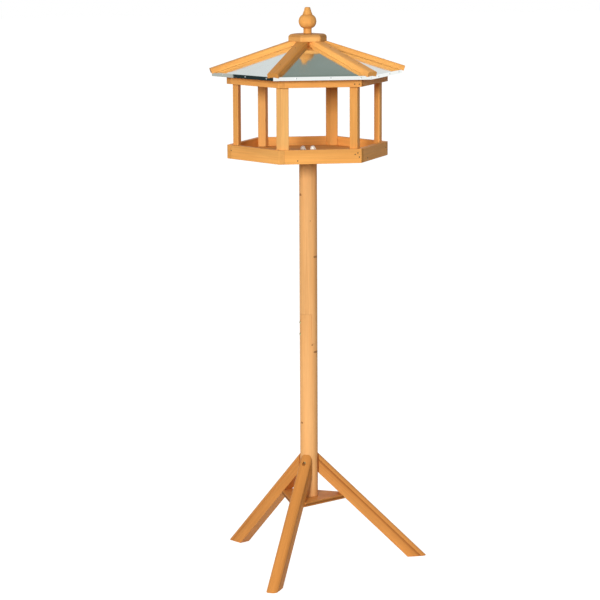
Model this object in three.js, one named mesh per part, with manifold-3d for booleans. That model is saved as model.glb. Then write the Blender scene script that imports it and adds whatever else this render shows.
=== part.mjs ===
// A six-sided garden bird table. A round pole in two halves stands on three
// splayed legs and carries a tray, six posts and a low roof of galvanised sheets.
// Millimetres, +Z up. The origin is on the ground, under the pole's axis, and one
// flat side of the house faces -Y.

import * as THREE from 'three';
import { mergeVertices } from 'three/addons/utils/BufferGeometryUtils.js';
import Module from 'manifold-3d';

const wasm = await Module();
wasm.setup();

// Clearances
const jointGap = 0.3;
const overrun = 6;

// The house has six sides, and the stand has three legs
const sides = 6;
const sideTurn = (2 * Math.PI) / sides;
const halfTurn = sideTurn / 2;
const legs = 3;
const legTurn = (2 * Math.PI) / legs;

// Facets on round pieces
const poleFacets = 48;
const turnedFacets = 40;
const screwFacets = 16;
const arcFacets = 6;
const edgeFacets = 3;

// Pole: two equal halves, joined by a half-lap
const poleDiameter = 44;
const poleHalfLength = 462.5;
const lapLength = 73;
const lapFacing = THREE.MathUtils.degToRad(190.5);
const lapScrewShares = [0.7, 0.3];

// Stand
const legWidth = 29;
const legDepth = 35.5;
const legSplay = THREE.MathUtils.degToRad(45);
const legTopHeight = 280;
const legRoundOver = 10.5;
const standTurn = THREE.MathUtils.degToRad(2);
const legScrewDrop = 19;
const legScrewSeat = 8;
const plateTopHeight = 172;
const plateThickness = 11;
const plateReach = 57;

// Tray and top ring, made of the same boards
const houseSide = 200;
const boardThickness = 12.5;
const trayBoardHeight = 34;
const floorThickness = 12.5;
const ringBoardHeight = 30;
const postSide = 20;
const postLength = 199;
const postRoundOver = 1.6;

// Roof
const roofPitch = THREE.MathUtils.degToRad(20.5);
const eaveSide = 236;
const roofBoardThickness = 8.2;
const sheetThickness = 0.8;
const flangeDepth = 9;
const apexOpening = 14;
const rafterWidth = 27.5;
const rafterThickness = 11;
const rafterRoundOver = 5;
const rafterOverhang = 1.5;
const rafterInset = 20;
const apexBlockSide = 42;
const apexBlockEdge = 8;
const capSide = 48.5;
const capThickness = 18;
const capRoundOver = 6.5;

// Finial, turned in one piece
const finialHeight = 64;
const finialFootRadius = 10.6;
const finialNeckRadius = 9.2;
const finialNeckHeight = 13;
const finialBallRadius = 21.8;
const finialBallHalfHeight = 19.3;
const finialBallCentre = 30.5;
const finialShoulderHeight = 45.5;
const finialConeRadius = 11.4;
const finialConeStep = 1.2;
const finialWaistRadius = 7;
const finialTipRadius = 5.9;
const finialTipRounding = 2.4;
const finialRodDepth = 24;

// Screws: shank and head radius, height of the head and length under it
const lapScrew = { shank: 2, head: 3.9, rise: 2.6, length: 34 };
const legScrew = { shank: 2.2, head: 4.2, rise: 3, length: 21 };
const footScrew = { shank: 2.4, head: 4.8, rise: 3.2, length: 58 };
const headBevelShare = 0.55;

// Studs with washers and domed nuts clamp the tray's floor to the pole's end
const studRadius = 4;
const studLength = 82;
const studSpacing = 25;
const washerRadius = 9;
const washerThickness = 1.6;
const nutRadius = 7.4;
const nutHeight = 6.4;
const nutDomeRadius = 6.2;
const nutWall = 2.6;

// A rod and a nut hold the finial and the cap to the block under the apex
const rodRadius = 3;
const rodEnd = 3;
const apexNutRadius = 5.8;
const apexNutHeight = 5;

// Finishes
const honeyWood = { color: 0xe2a15c, roughness: 0.55, metalness: 0 };
const poleWood = { color: 0xe8b074, roughness: 0.55, metalness: 0 };
const innerWood = { color: 0xc98d50, roughness: 0.7, metalness: 0 };
const galvanised = { color: 0xc3cbc6, roughness: 0.2, metalness: 1 };
const zincPlate = { color: 0xd8d8d2, roughness: 0.3, metalness: 1 };

// Heights and reaches that follow from the sizes above. A reach is a distance from
// the axis square to a side of the house
const poleRadius = poleDiameter / 2;
const poleFoot = plateTopHeight + jointGap;
const poleTop = poleFoot + 2 * poleHalfLength - lapLength;
const lapTop = poleFoot + poleHalfLength;
const lapBottom = lapTop - lapLength;
const trayBottom = poleTop + jointGap;
const trayTop = trayBottom + trayBoardHeight;
const floorTop = trayBottom + floorThickness;
const postFoot = floorTop + jointGap;
const ringTop = postFoot + postLength;
const ringBottom = ringTop - ringBoardHeight;
const houseReach = houseSide * Math.cos(halfTurn);
const innerReach = houseReach - boardThickness;
const seatReach = innerReach - jointGap;
const eaveReach = eaveSide * Math.cos(halfTurn);
const hipPitch = Math.atan(Math.tan(roofPitch) * Math.cos(halfTurn));
const legInset = poleRadius + jointGap;
const legLowHeight = legTopHeight - legDepth / Math.sin(legSplay);

// Heights of the sloping layers of the roof at a reach
const boardUnderside = (reach) => ringTop + jointGap + (houseReach - reach) * Math.tan(roofPitch);
const boardTop = (reach) => boardUnderside(reach) + roofBoardThickness / Math.cos(roofPitch);
const sheetUnderside = (reach) => boardTop(reach) + jointGap;
const sheetTop = (reach) => sheetUnderside(reach) + sheetThickness / Math.cos(roofPitch);
const ridgeHeight = (radius) => sheetTop(radius * Math.cos(halfTurn));

// Heights at the apex, from the rafters' tops up to the cap and down to the block
const rafterSeat = ridgeHeight(capSide) + rafterThickness / Math.cos(hipPitch);
const capBottom = rafterSeat + jointGap;
const capTop = capBottom + capThickness;
const finialFoot = capTop + jointGap;
const blockBottom = boardUnderside(apexBlockSide * Math.cos(halfTurn)) - apexBlockEdge;

// Solids from closed geometries, and back again
function solidOf(geometry) {
  const bare = geometry.index ? geometry.toNonIndexed() : geometry.clone();
  for (const name of Object.keys(bare.attributes)) {
    if (name !== 'position') bare.deleteAttribute(name);
  }
  const merged = mergeVertices(bare);
  const mesh = new wasm.Mesh({
    numProp: 3,
    vertProperties: new Float32Array(merged.attributes.position.array),
    triVerts: new Uint32Array(merged.index.array),
  });
  return new wasm.Manifold(mesh);
}

function geometryOf(solid) {
  const mesh = solid.getMesh();
  const geometry = new THREE.BufferGeometry();
  geometry.setAttribute('position', new THREE.BufferAttribute(new Float32Array(mesh.vertProperties), 3));
  geometry.setIndex(new THREE.BufferAttribute(new Uint32Array(mesh.triVerts), 1));
  geometry.computeVertexNormals();
  return geometry;
}

function cut(geometry, ...tools) {
  let solid = solidOf(geometry);
  for (const tool of tools) solid = solid.subtract(solidOf(tool));
  return geometryOf(solid);
}

function keep(geometry, tool) {
  return geometryOf(solidOf(geometry).intersect(solidOf(tool)));
}

function join(geometry, other) {
  return geometryOf(solidOf(geometry).add(solidOf(other)));
}

// Basic forms, each with its axis along +Z
function rod(radius, bottom, top, facets = screwFacets) {
  const geometry = new THREE.CylinderGeometry(radius, radius, top - bottom, facets);
  geometry.rotateX(Math.PI / 2);
  geometry.translate(0, 0, (top + bottom) / 2);
  return geometry;
}

function turned(points, facets, start = 0) {
  const geometry = new THREE.LatheGeometry(points, facets, start);
  geometry.rotateX(Math.PI / 2);
  return geometry;
}

function profile(...pairs) {
  return pairs.map(([radius, height]) => new THREE.Vector2(radius, height));
}

function slab(outline, bottom, top) {
  const shape = new THREE.Shape(outline.map(([x, y]) => new THREE.Vector2(x, y)));
  const geometry = new THREE.ExtrudeGeometry(shape, { depth: top - bottom, bevelEnabled: false });
  geometry.translate(0, 0, bottom);
  return geometry;
}

function block(x0, x1, y0, y1, z0, z1) {
  return slab([[x0, y0], [x1, y0], [x1, y1], [x0, y1]], z0, z1);
}

function turnedAbout(geometry, angle) {
  return geometry.clone().rotateZ(angle);
}

function eachTurn(count, make) {
  return Array.from({ length: count }, (_, i) => make(i, (i * 2 * Math.PI) / count));
}

// A regular outline whose first corner lies on +X
function evenOutline(count, radius) {
  return eachTurn(count, (i, turn) => [radius * Math.cos(turn), radius * Math.sin(turn)]);
}

// Turns a form that points along +Z so that it points along a direction, from a start
function aim(geometry, start, direction) {
  const up = new THREE.Vector3(0, 0, 1);
  geometry.applyQuaternion(new THREE.Quaternion().setFromUnitVectors(up, direction));
  geometry.translate(start.x, start.y, start.z);
  return geometry;
}

// A screw's head lies behind its start, and its shank runs ahead of it to a point
function screwForm({ shank, head, rise, length }) {
  return turned(
    profile(
      [0, -rise],
      [head * headBevelShare, -rise],
      [head, -rise * headBevelShare],
      [head, 0],
      [shank, 0],
      [shank, length - 2 * shank],
      [0, length],
    ),
    screwFacets,
  );
}

// The hole for a screw, open for a way behind its head
function screwRoom({ shank, head, rise, length }, behind) {
  return turned(
    profile(
      [0, -rise - behind],
      [head + jointGap, -rise - behind],
      [head + jointGap, jointGap],
      [shank + jointGap, jointGap],
      [shank + jointGap, length + jointGap],
      [0, length + jointGap],
    ),
    screwFacets,
  );
}

// Names, finishes and places of the finished pieces
const birdTable = new THREE.Group();
const stand = new THREE.Group();
stand.rotation.z = standTurn;
birdTable.add(stand);

function addPiece(name, geometry, finish, turn = 0, parent = birdTable) {
  const mesh = new THREE.Mesh(geometry, new THREE.MeshStandardMaterial(finish));
  mesh.name = name;
  mesh.rotation.z = turn;
  parent.add(mesh);
}

function addRound(name, geometry, finish) {
  eachTurn(sides, (i, turn) => addPiece(`${name}_${i + 1}`, geometry.clone(), finish, turn));
}

// Leg: its radial plane is the XZ plane, and it leaves the pole along +X. The bar's
// depth is measured from its inner face, and both edges of its outer face are rounded
const legAlong = new THREE.Vector3(Math.sin(legSplay), 0, -Math.cos(legSplay));
const legOut = new THREE.Vector3(Math.cos(legSplay), 0, Math.sin(legSplay));
const legAcross = new THREE.Vector3(0, 1, 0);
const legReach = legTopHeight / Math.cos(legSplay) + legDepth;

function legBar(shape) {
  const geometry = new THREE.ExtrudeGeometry(
    shape,
    { depth: legReach, bevelEnabled: false, curveSegments: arcFacets },
  );
  geometry.translate(0, 0, -legDepth);
  geometry.applyMatrix4(new THREE.Matrix4().makeBasis(legAcross, legOut, legAlong));
  geometry.translate(legInset, 0, legLowHeight);
  return geometry;
}

function legSection() {
  const half = legWidth / 2;
  const centre = legDepth - legRoundOver;
  const shape = new THREE.Shape();
  shape.moveTo(-half, 0);
  shape.lineTo(half, 0);
  shape.absarc(half - legRoundOver, centre, legRoundOver, 0, Math.PI / 2);
  shape.absarc(legRoundOver - half, centre, legRoundOver, Math.PI / 2, Math.PI);
  shape.closePath();
  return shape;
}

// The room that a leg takes from the brace plate, wider than the leg itself
function legRoom() {
  const shape = new THREE.Shape();
  shape.moveTo(-legWidth - plateReach, -jointGap);
  shape.lineTo(legWidth + plateReach, -jointGap);
  shape.lineTo(legWidth + plateReach, 2 * plateReach);
  shape.lineTo(-legWidth - plateReach, 2 * plateReach);
  shape.closePath();
  return legBar(shape);
}

const legScrewHeight = legTopHeight - legScrewDrop;
const inward = new THREE.Vector3(-1, 0, 0);
const legScrewStart = new THREE.Vector3(legInset + legScrewSeat, 0, legScrewHeight);
const legScrewHole = aim(screwRoom(legScrew, legDepth), legScrewStart, inward);

const leg = cut(
  legBar(legSection()),
  block(-legDepth, 2 * legTopHeight, -legWidth, legWidth, -2 * legDepth, 0),
  block(-2 * legDepth, legInset, -legWidth, legWidth, 0, 2 * legTopHeight),
  legScrewHole,
);

// The first leg is the one under the house's front-left corner
const firstLegTurn = Math.PI + sideTurn;
eachTurn(legs, (i, turn) => {
  addPiece(`leg_${i + 1}`, leg.clone(), honeyWood, firstLegTurn + turn, stand);
  const screw = aim(screwForm(legScrew), legScrewStart, inward);
  addPiece(`leg_screw_${i + 1}`, screw, zincPlate, firstLegTurn + turn, stand);
});

// The brace plate is a triangle whose corners are cut to the legs' inner faces
const plateBottom = plateTopHeight - plateThickness;
const upward = new THREE.Vector3(0, 0, 1);
const footScrewStart = new THREE.Vector3(0, 0, plateBottom + footScrew.rise);
const footScrewHole = aim(screwRoom(footScrew, overrun), footScrewStart, upward);

const plateCorner = 2 * plateReach;
const plate = cut(
  slab(evenOutline(legs, plateCorner), plateBottom, plateTopHeight),
  ...eachTurn(legs, (i, turn) => turnedAbout(legRoom(), turn)),
  footScrewHole,
);
addPiece('brace_plate', plate, honeyWood, firstLegTurn, stand);
addPiece('pole_foot_screw', aim(screwForm(footScrew), footScrewStart, upward), zincPlate);

// Pole: each half loses half its section over the lap, on either side of a plane
// through the axis, and two screws pass through the outer tongue into the inner one
const lapDirection = new THREE.Vector3(Math.cos(lapFacing), Math.sin(lapFacing), 0);
const lapInward = lapDirection.clone().negate();
const lapScrewStarts = lapScrewShares.map((share) => {
  const start = lapDirection.clone().multiplyScalar(poleRadius - lapScrew.rise / 2);
  return start.setZ(lapBottom + share * lapLength);
});
const lapScrewHoles = lapScrewStarts.map((start) => aim(screwRoom(lapScrew, overrun), start, lapInward));

function halfSpace(side, bottom, top) {
  const near = (-side * jointGap) / 2;
  const far = side * poleDiameter;
  const geometry = block(
    Math.min(near, far),
    Math.max(near, far),
    -poleDiameter,
    poleDiameter,
    bottom,
    top,
  );
  return geometry.rotateZ(lapFacing);
}

const studTop = floorTop + washerThickness + nutHeight + nutDomeRadius - nutWall;
const studBottom = studTop - studLength;
const studHole = rod(studRadius + jointGap, studBottom - jointGap, studTop + jointGap);
const studPlaces = [-studSpacing / 2, studSpacing / 2];
const studHoles = studPlaces.map((x) => studHole.clone().translate(x, 0, 0));

addPiece(
  'lower_pole',
  cut(
    rod(poleRadius, poleFoot, lapTop, poleFacets),
    halfSpace(-1, lapBottom, lapTop + overrun),
    ...lapScrewHoles,
    ...eachTurn(legs, (i, turn) => turnedAbout(legScrewHole, firstLegTurn + standTurn + turn)),
    footScrewHole,
  ),
  poleWood,
);
addPiece(
  'upper_pole',
  cut(
    rod(poleRadius, lapBottom + jointGap, poleTop, poleFacets),
    halfSpace(1, lapBottom - overrun, lapTop + jointGap),
    ...lapScrewHoles,
    ...studHoles,
  ),
  poleWood,
);
lapScrewStarts.forEach((start, i) => {
  addPiece(`lap_screw_${i + 1}`, aim(screwForm(lapScrew), start, lapInward), zincPlate);
});

// Tray and ring: a board's right end is cut to the next side's face and shows there,
// and its left end butts against the inner face of the board before it
function ringBoard(bottom, top) {
  const endAt = (faceReach, reach) => (faceReach - reach * Math.sin(halfTurn)) / Math.cos(halfTurn);
  return slab(
    [
      [-endAt(seatReach, houseReach), -houseReach],
      [endAt(houseReach, houseReach), -houseReach],
      [endAt(houseReach, innerReach), -innerReach],
      [-endAt(seatReach, innerReach), -innerReach],
    ],
    bottom,
    top,
  );
}

const floorCorner = seatReach / Math.cos(halfTurn);
const trayFloor = cut(slab(evenOutline(sides, floorCorner), trayBottom, floorTop), ...studHoles);
addPiece('tray_floor', trayFloor, innerWood);
addRound('tray_board', ringBoard(trayBottom, trayTop), honeyWood);

function domedNut() {
  const dome = new THREE.Path();
  dome.moveTo(0, nutHeight / 2);
  dome.lineTo(nutDomeRadius, nutHeight / 2);
  dome.absarc(0, nutHeight, nutDomeRadius, 0, Math.PI / 2);
  const points = dome.getPoints(arcFacets);
  points[points.length - 1].x = 0;
  const body = turned(profile([0, 0], [nutRadius, 0], [nutRadius, nutHeight], [0, nutHeight]), sides);
  return join(body, turned(points, 2 * screwFacets));
}

const washerFoot = floorTop + jointGap;
const nutFoot = washerFoot + washerThickness + jointGap;
const washer = rod(washerRadius, washerFoot, washerFoot + washerThickness, 2 * screwFacets);
studPlaces.forEach((x, i) => {
  addPiece(`tray_stud_${i + 1}`, rod(studRadius, studBottom, studTop).translate(x, 0, 0), zincPlate);
  addPiece(`tray_washer_${i + 1}`, cut(washer, studHole).translate(x, 0, 0), zincPlate);
  const nut = cut(domedNut().translate(0, 0, nutFoot), studHole);
  addPiece(`tray_cap_nut_${i + 1}`, nut.translate(x, 0, 0), zincPlate);
});

// An outline, listed anticlockwise, whose corners are rounded by arcs
function roundedShape(corners, radius) {
  const shape = new THREE.Shape();
  const count = corners.length;
  corners.forEach((corner, i) => {
    const before = corners[(i + count - 1) % count].clone().sub(corner).normalize();
    const after = corners[(i + 1) % count].clone().sub(corner).normalize();
    const half = Math.acos(before.dot(after)) / 2;
    const middle = before.clone().add(after).normalize();
    const centre = corner.clone().addScaledVector(middle, radius / Math.sin(half));
    const angleOf = (side) => {
      const touch = corner.clone().addScaledVector(side, radius / Math.tan(half));
      return touch.sub(centre).angle();
    };
    shape.absarc(centre.x, centre.y, radius, angleOf(before), angleOf(after));
  });
  shape.closePath();
  return shape;
}

// Posts have a lozenge section that lies flat on both boards of its corner, here at +X
function postSolid() {
  const across = postSide * Math.cos(halfTurn);
  const corners = [
    new THREE.Vector2(floorCorner, 0),
    new THREE.Vector2(floorCorner - postSide / 2, across),
    new THREE.Vector2(floorCorner - postSide, 0),
    new THREE.Vector2(floorCorner - postSide / 2, -across),
  ];
  const body = new THREE.ExtrudeGeometry(
    roundedShape(corners, postRoundOver),
    { depth: postLength, bevelEnabled: false, curveSegments: edgeFacets },
  );
  return body.translate(0, 0, postFoot);
}

addRound('post', postSolid(), honeyWood);
addRound('ring_board', ringBoard(ringBottom, ringTop), honeyWood);

// The pieces of one side of the roof are mitred to their neighbours along the hips
function sideWedge(near, far) {
  const half = (reach) => reach * Math.tan(halfTurn) - jointGap / 2 / Math.cos(halfTurn);
  return [[-half(far), -far], [half(far), -far], [half(near), -near], [-half(near), -near]];
}

// A roof board fills the wedge between two planes that follow the roof's pitch
function roofBoard() {
  const geometry = slab(sideWedge(apexOpening, eaveReach - sheetThickness - jointGap), 0, 1);
  const place = geometry.attributes.position;
  for (let i = 0; i < place.count; i += 1) {
    const heightAt = place.getZ(i) === 0 ? boardUnderside : boardTop;
    place.setZ(i, heightAt(-place.getY(i)));
  }
  return geometry;
}

// The galvanised sheet is folded down over the board's edge at the eaves
function roofSheet() {
  const inside = eaveReach - sheetThickness;
  const flangeBottom = sheetTop(eaveReach) - flangeDepth;
  const section = new THREE.Shape();
  section.moveTo(-apexOpening, sheetUnderside(apexOpening));
  section.lineTo(-apexOpening, sheetTop(apexOpening));
  section.lineTo(-eaveReach, sheetTop(eaveReach));
  section.lineTo(-eaveReach, flangeBottom);
  section.lineTo(-inside, flangeBottom);
  section.lineTo(-inside, sheetUnderside(inside));
  section.closePath();
  const strip = new THREE.ExtrudeGeometry(section, { depth: 2 * eaveSide, bevelEnabled: false });
  strip.applyMatrix4(new THREE.Matrix4().makeBasis(
    new THREE.Vector3(0, 1, 0),
    new THREE.Vector3(0, 0, 1),
    new THREE.Vector3(1, 0, 0),
  ));
  strip.translate(-eaveSide, 0, 0);
  return keep(strip, slab(sideWedge(apexOpening, eaveReach + overrun), ringBottom, capTop));
}

addRound('roof_board', roofBoard(), innerWood);
addRound('roof_sheet', roofSheet(), galvanised);

// Rafters lie on the ridges between the sheets, here along +X. Their undersides are
// hollowed to the sheets' slopes. Their upper ends are cut level for the cap, and
// mitred where they meet
const hipAlong = new THREE.Vector3(Math.cos(hipPitch), 0, -Math.sin(hipPitch));
const hipUp = new THREE.Vector3(Math.sin(hipPitch), 0, Math.cos(hipPitch));
const hipAcross = new THREE.Vector3(0, 1, 0);
const sheetNormal = new THREE.Vector3(
  Math.sin(roofPitch) * Math.cos(halfTurn),
  Math.sin(roofPitch) * Math.sin(halfTurn),
  Math.cos(roofPitch),
);
const hollowSlope = sheetNormal.dot(hipAcross) / sheetNormal.dot(hipUp);

function rafterSolid() {
  const half = rafterWidth / 2;
  const shoulder = rafterThickness - rafterRoundOver;
  const edge = jointGap - half * hollowSlope;
  const section = new THREE.Shape();
  section.moveTo(0, jointGap);
  section.lineTo(half, edge);
  section.absarc(half - rafterRoundOver, shoulder, rafterRoundOver, 0, Math.PI / 2);
  section.absarc(rafterRoundOver - half, shoulder, rafterRoundOver, Math.PI / 2, Math.PI);
  section.lineTo(-half, edge);
  section.closePath();
  const start = rafterInset - overrun;
  const bar = new THREE.ExtrudeGeometry(
    section,
    {
      depth: (eaveSide + rafterOverhang - start) / Math.cos(hipPitch),
      bevelEnabled: false,
      curveSegments: edgeFacets,
    },
  );
  bar.applyMatrix4(new THREE.Matrix4().makeBasis(hipAcross, hipUp, hipAlong));
  bar.translate(start, 0, ridgeHeight(start));
  const room = slab(sideWedge(rafterInset, 2 * eaveSide), ringBottom, rafterSeat);
  return keep(bar, turnedAbout(room, Math.PI / 2));
}

addRound('rafter', rafterSolid(), honeyWood);

// Apex: the block, the rod with its nut, the cap and the finial
const rodTop = finialFoot + finialRodDepth;
const apexNutTop = blockBottom - jointGap;
const apexNutBottom = apexNutTop - apexNutHeight - washerThickness;
const rodBottom = apexNutBottom - rodEnd;
const rodHole = rod(rodRadius + jointGap, rodBottom - jointGap, rodTop + jointGap);

// With as many facets as the house has sides, a turned profile becomes a hexagonal form
function hexagonal(points) {
  return turned(points, sides, halfTurn);
}

function apexBlock() {
  const hipUnderside = (radius) => boardUnderside(radius * Math.cos(halfTurn)) - jointGap;
  return cut(
    hexagonal(profile(
      [0, blockBottom],
      [apexBlockSide, blockBottom],
      [apexBlockSide, hipUnderside(apexBlockSide)],
      [0, hipUnderside(0)],
    )),
    rodHole,
  );
}

function apexNut() {
  const nut = hexagonal(profile(
    [0, apexNutBottom],
    [apexNutRadius, apexNutBottom],
    [apexNutRadius, apexNutTop],
    [0, apexNutTop],
  ));
  const flange = rod(washerRadius, apexNutTop - washerThickness, apexNutTop, 2 * screwFacets);
  return cut(join(nut, flange), rodHole);
}

function roofCap() {
  const shoulder = capTop - capRoundOver;
  const outline = new THREE.Path();
  outline.moveTo(0, capBottom);
  outline.lineTo(capSide, capBottom);
  outline.absarc(capSide - capRoundOver, shoulder, capRoundOver, 0, Math.PI / 2);
  outline.lineTo(0, capTop);
  return cut(hexagonal(outline.getPoints(arcFacets)), rodHole);
}

function finial() {
  const lowAngle = Math.asin((finialNeckHeight - finialBallCentre) / finialBallHalfHeight);
  const highAngle = Math.asin((finialShoulderHeight - finialBallCentre) / finialBallHalfHeight);
  const coneFoot = finialShoulderHeight + finialConeStep;
  const tipEdge = finialHeight - finialTipRounding;
  const outline = new THREE.Path();
  outline.moveTo(0, 0);
  outline.lineTo(finialFootRadius, 0);
  outline.quadraticCurveTo(
    2 * finialNeckRadius - finialFootRadius,
    finialNeckHeight / 2,
    finialFootRadius,
    finialNeckHeight,
  );
  outline.absellipse(0, finialBallCentre, finialBallRadius, finialBallHalfHeight, lowAngle, highAngle);
  outline.lineTo(finialConeRadius, coneFoot);
  outline.quadraticCurveTo(finialWaistRadius, (coneFoot + tipEdge) / 2, finialTipRadius, tipEdge);
  outline.quadraticCurveTo(
    finialTipRadius,
    finialHeight,
    finialTipRadius - finialTipRounding,
    finialHeight,
  );
  outline.lineTo(0, finialHeight);
  return cut(turned(outline.getPoints(arcFacets), turnedFacets).translate(0, 0, finialFoot), rodHole);
}

addPiece('apex_block', apexBlock(), innerWood);
addPiece('apex_nut', apexNut(), zincPlate);
addPiece('finial_rod', rod(rodRadius, rodBottom, rodTop), zincPlate);
addPiece('roof_cap', roofCap(), honeyWood);
addPiece('finial', finial(), honeyWood);

export default birdTable;
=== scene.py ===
import math
import random

import bmesh
import bpy
from bpy.props import FloatProperty, FloatVectorProperty, IntProperty, PointerProperty
from mathutils import Matrix, Vector
from mathutils.geometry import interpolate_bezier


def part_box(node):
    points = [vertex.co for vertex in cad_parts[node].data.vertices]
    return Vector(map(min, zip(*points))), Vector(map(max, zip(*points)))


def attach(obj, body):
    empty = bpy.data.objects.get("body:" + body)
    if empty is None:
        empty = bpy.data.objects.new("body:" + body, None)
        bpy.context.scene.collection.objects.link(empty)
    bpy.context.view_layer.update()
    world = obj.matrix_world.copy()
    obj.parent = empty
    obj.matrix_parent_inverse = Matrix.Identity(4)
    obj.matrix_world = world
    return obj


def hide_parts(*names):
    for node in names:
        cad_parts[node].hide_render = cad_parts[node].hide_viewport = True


bl_info = {
    "name": "Garden Bird Table",
    "version": (1, 1, 0),
    "blender": (4, 5, 0),
    "location": "View3D > Sidebar > Bird Table",
    "description": "Planes, stains, folds, nails and lights a six-sided garden bird table",
    "category": "Object",
}

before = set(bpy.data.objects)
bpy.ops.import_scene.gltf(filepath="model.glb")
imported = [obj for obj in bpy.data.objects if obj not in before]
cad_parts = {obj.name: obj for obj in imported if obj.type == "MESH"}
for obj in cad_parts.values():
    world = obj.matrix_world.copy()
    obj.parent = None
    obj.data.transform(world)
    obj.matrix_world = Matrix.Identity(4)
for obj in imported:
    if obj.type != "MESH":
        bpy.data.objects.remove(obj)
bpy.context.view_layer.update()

EAST = Vector((1, 0, 0))
NORTH = Vector((0, 1, 0))
UP = Vector((0, 0, 1))
SIDES = 6
LEGS = 3
SIDE_TURN = math.tau / SIDES
HALF_TURN = SIDE_TURN / 2
LEG_TURN = math.tau / LEGS
STAND_TURN = math.radians(2)
FIRST_LEG = math.radians(240) + STAND_TURN
LEG_SPLAY = math.radians(45)
LAP_FACING = math.radians(190.5)
FRONT = math.radians(-90)
ROOF_PITCH = math.radians(20.5)
HIP_PITCH = math.atan(math.tan(ROOF_PITCH) * math.cos(HALF_TURN))
TRAY_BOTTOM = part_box("tray_floor")[0].z
RING_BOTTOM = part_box("ring_board_1")[0].z
HOUSE_REACH = -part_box("tray_board_1")[0].y
EAVE_REACH = -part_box("roof_sheet_1")[0].y
EAVE_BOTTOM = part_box("roof_sheet_1")[0].z
RAFTER_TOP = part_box("rafter_1")[1].z
CAP_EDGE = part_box("roof_cap")[1].x
FINIAL_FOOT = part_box("finial")[0].z


def polar(angle, radius=1.0, height=0.0):
    """A point at a polar angle about the pole's axis."""
    return Vector((radius * math.cos(angle), radius * math.sin(angle), height))


def numbered(name, count):
    """The names of a repeated node."""
    return [f"{name}_{i + 1}" for i in range(count)]


# Sizes in metres, shares of them, and counts

WELD = 2e-6
SAME_PLANE = 3e-6
FLAT_TURN = math.radians(0.4)

LONG_PLATE_EDGE = 0.010
LOWER_PLATE_EDGE = 0.0005
LONG_FOLD = 0.2
FOLD_RISE = 0.005
LEG_SIDE_REACH = 0.009
PLATE_SIDE_REACH = 0.010
PLATE_QUIRK_SHARE = 1.4

# The cap's rounding, as shares of its height: its width, how far its curve is pulled
# along the top and up the side, the corners' bevel and where the top's thicker stain and painted shade
# start
CAP_SPREAD_SHARE = 1.4
CAP_TOP_PULL_SHARE = 0.8
CAP_SIDE_PULL_SHARE = 0.55
CAP_CORNER_SHARE = 0.5
CAP_STAIN_AND_SHADE_START_SHARE = 0.1

# How dark the cap's top is painted, for thicker stain and painted shade
CAP_STAIN_AND_SHADE = 0.5
CAP_BORE_CLEARANCE = 0.0004
FINIAL_BORE = 0.0033
FINIAL_BORE_CLEARANCE = 0.0003
FINIAL_STEPS = 64

# Places of the nails: how far along a side from its middle, and how high over its foot
TRAY_NAILS = ((-0.0551, 0.0083), (0.0844, 0.0211), (0.0949, 0.0147), (0.0912, 0.0243))
LEFT_TRAY_NAILS = ((-0.0840, 0.0206),)
RING_NAILS = ((0.0833, 0.0067), (0.0947, 0.0066))
FLANGE_NAILS = ((-0.0629, 0.0046), (0.0198, 0.0052), (0.0929, 0.0048))
LEFT_FLANGE_NAILS = ((-0.0784, 0.0050), (0.0118, 0.0050), (0.0922, 0.0048))
LOOSENESS = 0.0012
PIN_REACHES = (0.085, 0.190)
NAIL_RISE_SHARE = 0.35
NAIL_SHANK_SHARE = 0.55
NAIL_STEPS = 14

# Screws: the radii of shank and head, the head's rise over its seat and the length
LAP_SCREW = (0.0020, 0.0039, 0.0026, 0.034)
LEG_SCREW = (0.0022, 0.0042, 0.0030, 0.021)
FOOT_SCREW = (0.0024, 0.0048, 0.0032, 0.058)
LAP_SCREW_REACH = 0.0207
LEG_SCREW_REACH = 0.0303
SCREW_STEPS = 24
RECESS_ARM_SHARE = 0.56
RECESS_SLOT_SHARE = 0.15
RECESS_FLOOR_SHARE = 0.55
RECESS_DEPTH_SHARE = 0.7

# The floor darkens between two distances from the pole
FLOOR_FADE = (0.3, 2.2)
FLOOR_FAR_LEVEL = 0.15
FLOOR_GLOW = 0.84
CARD_FACING = Vector((0.928, -0.366, 0.0)).normalized()
CARD_CENTRE = Vector((-1.1919, 0.1126, 1.159))
GREY_CARD_SHIFT = 0.38
GREY_CARD_SETBACK = 0.01


# Settings


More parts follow.
